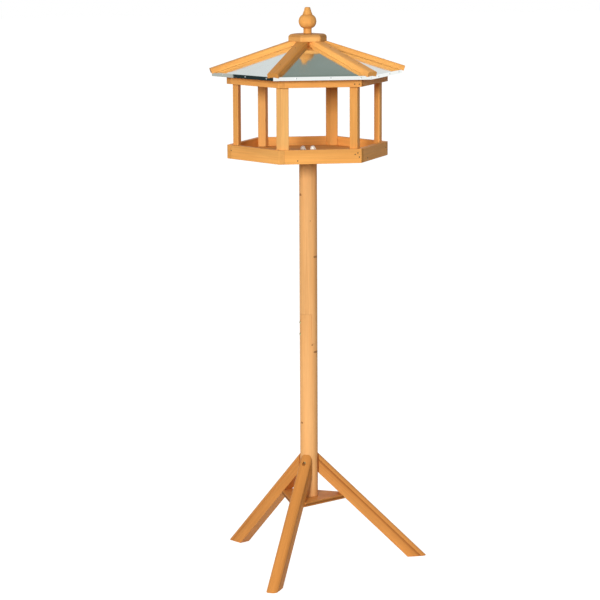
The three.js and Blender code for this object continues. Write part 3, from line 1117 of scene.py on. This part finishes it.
class BIRDTABLE_OT_roof_wood(bpy.types.Operator):
    """Planes the roof boards, the rafters, the apex block and the cap"""

    bl_idname = "bird_table.roof_wood"
    bl_label = "Rafters and Roof Boards"

    def execute(self, context):
        for i, node in enumerate(numbered("roof_board", SIDES)):
            plane(node, polar(i * SIDE_TURN), UP, wood("inner"), 60 + i)
        for i, node in enumerate(numbered("rafter", SIDES)):
            turn = i * SIDE_TURN
            along = polar(turn, math.cos(HIP_PITCH), -math.sin(HIP_PITCH))
            plane(node, along, polar(turn + math.pi / 2), wood("board"), 70 + i)
        plane("apex_block", EAST, NORTH, wood("inner"), 80)
        self.cap()
        return {"FINISHED"}

    def cap(self):
        """Turns the cap in six steps, which gives it six flat sides, with a rounded upper
        edge, rounded corners and a bore for the rod."""
        low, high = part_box("roof_cap")
        rounding = settings().wood.cap_rounding
        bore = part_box("finial_rod")[1].x / math.cos(HALF_TURN) + CAP_BORE_CLEARANCE
        flat, shoulder = CAP_EDGE - rounding * CAP_SPREAD_SHARE, high.z - rounding
        profile = [(bore, low.z), (bore, high.z)]
        profile += swept(
            (flat, high.z),
            (flat + rounding * CAP_TOP_PULL_SHARE, high.z),
            (CAP_EDGE, shoulder + rounding * CAP_SIDE_PULL_SHARE),
            (CAP_EDGE, shoulder),
        )
        profile += [(CAP_EDGE, low.z), (bore, low.z)]
        shape = turned_form(profile, SIDES)
        layer(shape.verts, "float", "pooled")
        corners = [
            edge
            for edge in shape.edges
            if min(vert.co.xy.length for vert in edge.verts) > flat - 1e-5
            and abs(edge.verts[0].co.xy.cross(edge.verts[1].co.xy)) < 1e-9
        ]
        bevelled(shape, corners, rounding * CAP_CORNER_SHARE, 4)
        # The top of the cap is painted darker, for thicker stain and painted shade
        stained = shoulder + rounding * CAP_STAIN_AND_SHADE_START_SHARE
        pool_stain_and_shade(shape, [vert for vert in shape.verts if vert.co.z > stained], CAP_STAIN_AND_SHADE)
        plane("roof_cap", EAST, NORTH, wood("board"), 81, shape=shape)


class BIRDTABLE_OT_finial(bpy.types.Operator):
    """Turns the finial, with a bore for its rod and a groove above and under the ball"""

    bl_idname = "bird_table.finial"
    bl_label = "Finial"

    def execute(self, context):
        bore_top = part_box("finial_rod")[1].z - FINIAL_FOOT + FINIAL_BORE_CLEARANCE
        profile = [(0.0, bore_top), (FINIAL_BORE, bore_top), (FINIAL_BORE, 0.0), (0.0100, 0.0)]
        profile += swept((0.0106, 0.0006), (0.0098, 0.0040), (0.0098, 0.0085), (0.0105, 0.0116))
        profile += [(0.0097, 0.0123), (0.0104, 0.0130)]
        profile += swept((0.0108, 0.0132), (0.0165, 0.0145), (0.0218, 0.0212), (0.0218, 0.0292), 14)
        profile += swept((0.0218, 0.0292), (0.0218, 0.0364), (0.0182, 0.0425), (0.0130, 0.0450), 14)[1:]
        profile += [(0.0116, 0.0455)]
        profile += swept((0.0124, 0.0464), (0.0102, 0.0502), (0.0086, 0.0560), (0.0071, 0.0610), 10)
        profile += swept((0.0069, 0.0622), (0.0066, 0.0635), (0.0046, 0.0640), (0.0, 0.0640), 7)
        shape = turned_form(profile, FINIAL_STEPS)
        foot = UP * FINIAL_FOOT
        bmesh.ops.translate(shape, vec=foot, verts=shape.verts)
        keep_edges_sharp(shape, math.radians(50))
        lay_grain(shape, UP, EAST, foot, random_pith(90), tone=TONES_AND_SHADES["finial"])
        finished(shape, "finial_turned", wood("board"), "finial")
        return {"FINISHED"}


class BIRDTABLE_OT_sheets(bpy.types.Operator):
    """Rounds the folds of the six galvanised roof sheets"""

    bl_idname = "bird_table.sheets"
    bl_label = "Roof Sheets"

    def execute(self, context):
        for node in numbered("roof_sheet", SIDES):
            shape = merged(node)
            low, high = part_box(node)
            fold = [
                edge
                for edge in shape.edges
                if edge.calc_length() > LONG_FOLD
                and min(vert.co.z for vert in edge.verts) > low.z + FOLD_RISE
            ]
            bevelled(shape, fold, settings().sheet.fold_width, 5)
            keep_edges_sharp(shape)
            even_shading(finished(shape, f"{node}_folded", galvanised(), node))
        return {"FINISHED"}


class BIRDTABLE_OT_nails(bpy.types.Operator):
    """Drives the nails into the tray, the top ring, the sheets' flanges and the rafters"""

    bl_idname = "bird_table.nails"
    bl_label = "Nails"

    def execute(self, context):
        sizes = settings().fastener
        left = SIDES - 1
        for i in range(SIDES):
            flange = LEFT_FLANGE_NAILS if i == left else FLANGE_NAILS
            tray = LEFT_TRAY_NAILS if i == left else TRAY_NAILS
            radius = sizes.flange_nail_radius
            self.row(f"flange_nails_{i + 1}", i, EAVE_REACH, EAVE_BOTTOM, flange, radius, dull_zinc())
            self.pins(f"rafter_pins_{i + 1}", i, sizes.pin_radius)
            self.row(f"tray_nails_{i + 1}", i, HOUSE_REACH, TRAY_BOTTOM, tray, sizes.nail_radius)
            if i != left:
                radius = sizes.nail_radius
                self.row(f"ring_nails_{i + 1}", i, HOUSE_REACH, RING_BOTTOM, RING_NAILS, radius)
        return {"FINISHED"}

    def row(self, name, side, reach, foot, places, radius, material=None):
        """Nails through one side, each a little off its mark but on the front and left sides."""
        rng = random.Random(f"{settings().seed} {name}")
        turn = FRONT + side * SIDE_TURN
        sideways = polar(turn + math.pi / 2)
        loose = 0.0 if side in (0, SIDES - 1) else LOOSENESS
        parts = []
        for along, height in places:
            start = polar(turn, reach, foot + height + rng.uniform(-loose, loose))
            start += sideways * (along + rng.uniform(-loose, loose))
            parts.append(nail(start, polar(turn), radius))
        self.drive(name, parts, material)

    def pins(self, name, side, radius):
        """Two pins down through a rafter into the boards under it."""
        turn = side * SIDE_TURN
        outward = polar(turn, math.sin(HIP_PITCH), math.cos(HIP_PITCH))
        parts = []
        for reach in PIN_REACHES:
            height = RAFTER_TOP - (reach - CAP_EDGE) * math.tan(HIP_PITCH)
            parts.append(nail(polar(turn, reach, height), outward, radius))
        self.drive(name, parts)

    def drive(self, name, parts, material=None):
        shape = gathered(parts)
        keep_edges_sharp(shape, math.radians(40))
        finished(shape, name, material or nail_steel())


class BIRDTABLE_OT_fittings(bpy.types.Operator):
    """Cuts the screws' cross recesses and plates the screws, studs, washers and nuts"""

    bl_idname = "bird_table.fittings"
    bl_label = "Screws, Studs and Nuts"

    def execute(self, context):
        for node in ["finial_rod"] + numbered("tray_stud", 2):
            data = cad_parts[node].data
            data.materials.clear()
            data.materials.append(zinc())
        for node in ["apex_nut"] + numbered("tray_washer", 2) + numbered("tray_cap_nut", 2):
            shape = merged(node)
            soften(shape, width=0.0004, shortest=0.004)
            keep_edges_sharp(shape)
            metal = nut_plate() if "cap_nut" in node else zinc()
            even_shading(finished(shape, f"{node}_plated", metal, node))
        self.screws()
        return {"FINISHED"}

    def screws(self):
        """Each screw stands where its node is: start, direction and sizes as in the model."""
        for i, node in enumerate(numbered("lap_screw", 2)):
            low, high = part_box(node)
            start = polar(LAP_FACING, LAP_SCREW_REACH, (low.z + high.z) / 2)
            self.screw(node, start, -polar(LAP_FACING), *LAP_SCREW)
        for i, node in enumerate(numbered("leg_screw", LEGS)):
            turn = FIRST_LEG + i * LEG_TURN
            low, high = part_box(node)
            start = polar(turn, LEG_SCREW_REACH, (low.z + high.z) / 2)
            self.screw(node, start, -polar(turn), *LEG_SCREW)
        rise = FOOT_SCREW[2]
        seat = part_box("pole_foot_screw")[0].z + rise
        self.screw("pole_foot_screw", UP * seat, UP, *FOOT_SCREW)

    def screw(self, node, start, direction, shank, head, rise, length):
        shape = aimed(cross_screw(shank, head, rise, length), start, direction)
        keep_edges_sharp(shape, math.radians(40))
        finished(shape, f"{node}_recessed", screw_steel(), node)


class BIRDTABLE_OT_stage(bpy.types.Operator):
    """Lays the pale floor and sets the two cards, the room light, the lamp and the camera"""

    bl_idname = "bird_table.stage"
    bl_label = "Stage"

    def execute(self, context):
        self.floor()
        self.cards()
        self.room(context)
        self.lamp(context)
        self.camera(context)
        context.scene.view_settings.view_transform = "Standard"
        return {"FINISHED"}

    def board(self, name, size, matrix, material):
        """A flat square board of the studio, which isn't part of the bird table."""
        shape = bmesh.new()
        bmesh.ops.create_grid(shape, x_segments=1, y_segments=1, size=size)
        bmesh.ops.transform(shape, matrix=matrix, verts=shape.verts)
        board = linked(shape, name, material)
        return board

    def floor(self):
        """White as seen, but grey to the light and darker far out, so that undersides stay
        in shade."""
        level = settings().stage.floor_level
        finish = Finish("pale_floor")
        reach = finish.length(finish.place())
        share = level - finish.between(reach, *FLOOR_FADE) * (level - FLOOR_FAR_LEVEL)
        paint = finish.node("ShaderNodeBsdfDiffuse", {}, {"Color": finish.grey(share)})
        matt = finish.node("ShaderNodeBsdfDiffuse", {}, {"Color": (0.42, 0.42, 0.42, 1.0)})
        glow = finish.node("ShaderNodeEmission", {}, {"Color": WHITE, "Strength": FLOOR_GLOW})
        white = finish.node("ShaderNodeAddShader", {}, {0: glow, 1: matt})
        both = finish.node("ShaderNodeMixShader", {}, {0: finish.seen(), 1: paint, 2: white})
        self.board("floor", 30.0, Matrix.Identity(4), finish.ended(both))

    def cards(self):
        """A dark and a grey card at the left that only mirrors see, for the eave on that side."""
        across = UP.cross(CARD_FACING)
        turn = Matrix((across, UP, CARD_FACING)).transposed().to_4x4()
        beside = CARD_CENTRE + across * GREY_CARD_SHIFT - CARD_FACING * GREY_CARD_SETBACK
        for name, colour, place in (
            ("dark_card", (0.023, 0.038, 0.040), CARD_CENTRE),
            ("grey_card", (0.53, 0.54, 0.50), beside),
        ):
            finish = Finish(name)
            paint = finish.node("ShaderNodeEmission", {}, {"Color": opaque(colour), "Strength": 1.0})
            card = self.board(name, 0.2, Matrix.Translation(place) @ turn, finish.ended(paint))
            card.visible_camera = False
            card.visible_diffuse = False
            card.visible_transmission = False
            card.visible_shadow = False

    def room(self, context):
        """Even light, a white backdrop, and a room that is darker high up in mirrors."""
        finish = Finish("studio_room", "worlds")
        place = finish.node("ShaderNodeTexCoord", output="Generated")
        height = finish.node("ShaderNodeSeparateXYZ", {}, {0: place}, output="Z")
        ceiling = finish.ramp(
            height,
            (0.02, (1.0, 1.0, 1.0)),
            (0.20, (0.78, 0.79, 0.79)),
            (0.56, (0.74, 0.78, 0.79)),
            (0.70, (0.235, 0.285, 0.255)),
            (0.84, (0.235, 0.285, 0.255)),
            (0.96, (0.16, 0.19, 0.17)),
        )
        uneven = finish.noise(place, (2.6, 2.6, 2.6), 2.0)
        ceiling = finish.shaded(ceiling, 0.86 + uneven * 0.28)
        stage = settings().stage
        rise = stage.ceiling_level - stage.wall_level
        level = stage.wall_level + finish.between(height, 0.05, 0.50) * rise
        depth = finish.node("ShaderNodeSeparateXYZ", {}, {0: place}, output="Y")
        level = level + finish.between(depth, 0.1, 0.9) * stage.back_level
        even = finish.node("ShaderNodeBackground", {}, {"Color": WHITE, "Strength": level})
        mirrored = finish.node("ShaderNodeBackground", {}, {"Color": ceiling, "Strength": 1.0})
        white = finish.node("ShaderNodeBackground", {}, {"Color": WHITE, "Strength": 1.0})
        camera_ray = finish.node("ShaderNodeLightPath", output="Is Camera Ray")
        first = finish.node("ShaderNodeMixShader", {}, {0: finish.seen(), 1: even, 2: mirrored})
        second = finish.node("ShaderNodeMixShader", {}, {0: camera_ray, 1: first, 2: white})
        context.scene.world = finish.ended(second, "ShaderNodeOutputWorld")

    def lamp(self, context):
        stage = settings().stage
        light = bpy.data.lights.new("key_lamp", "AREA")
        light.shape = "SQUARE"
        light.size = stage.key_size
        light.energy = stage.key_power
        lamp = bpy.data.objects.new("key_lamp", light)
        lamp.location = (-2.098, -5.192, 2.15)
        lamp.rotation_euler = (lamp.location - Vector((0, 0, 1.0))).to_track_quat("Z", "Y").to_euler()
        context.scene.collection.objects.link(lamp)

    def camera(self, context):
        data = bpy.data.cameras.new("photograph_view")
        data.lens = settings().stage.lens
        data.sensor_width = 36
        data.clip_end = 100
        camera = bpy.data.objects.new("photograph_view", data)
        camera.location = (-1.0143, -5.8290, 1.6353)
        level = Matrix.Rotation(math.radians(-9.667), 3, "Z")
        pitch = Matrix.Rotation(math.radians(90 - 9.285), 3, "X")
        roll = Matrix.Rotation(math.radians(-0.24), 3, "Z")
        camera.rotation_euler = (level @ pitch @ roll).to_euler()
        context.scene.collection.objects.link(camera)
        context.scene.camera = camera


OPERATORS = (
    BIRDTABLE_OT_stage,
    BIRDTABLE_OT_stand,
    BIRDTABLE_OT_pole,
    BIRDTABLE_OT_tray,
    BIRDTABLE_OT_house,
    BIRDTABLE_OT_roof_wood,
    BIRDTABLE_OT_finial,
    BIRDTABLE_OT_sheets,
    BIRDTABLE_OT_nails,
    BIRDTABLE_OT_fittings,
)


class BIRDTABLE_PT_panel(bpy.types.Panel):
    """Lists the steps that dress the bird table"""

    bl_idname = "BIRDTABLE_PT_panel"
    bl_label = "Bird Table"
    bl_space_type = "VIEW_3D"
    bl_region_type = "UI"
    bl_category = "Bird Table"

    def draw(self, context):
        for operator in OPERATORS:
            self.layout.operator(operator.bl_idname)


GROUPS = (WoodSettings, SheetSettings, FastenerSettings, StageSettings, BirdTableSettings)


def register():
    for cls in (*GROUPS, *OPERATORS, BIRDTABLE_PT_panel):
        bpy.utils.register_class(cls)
    bpy.types.Scene.bird_table = PointerProperty(type=BirdTableSettings)


def unregister():
    del bpy.types.Scene.bird_table
    for cls in reversed((*GROUPS, *OPERATORS, BIRDTABLE_PT_panel)):
        bpy.utils.unregister_class(cls)


def main():
    register()
    for operator in OPERATORS:
        group, name = operator.bl_idname.split(".")
        getattr(getattr(bpy.ops, group), name)()


if __name__ == "__main__":
    main()
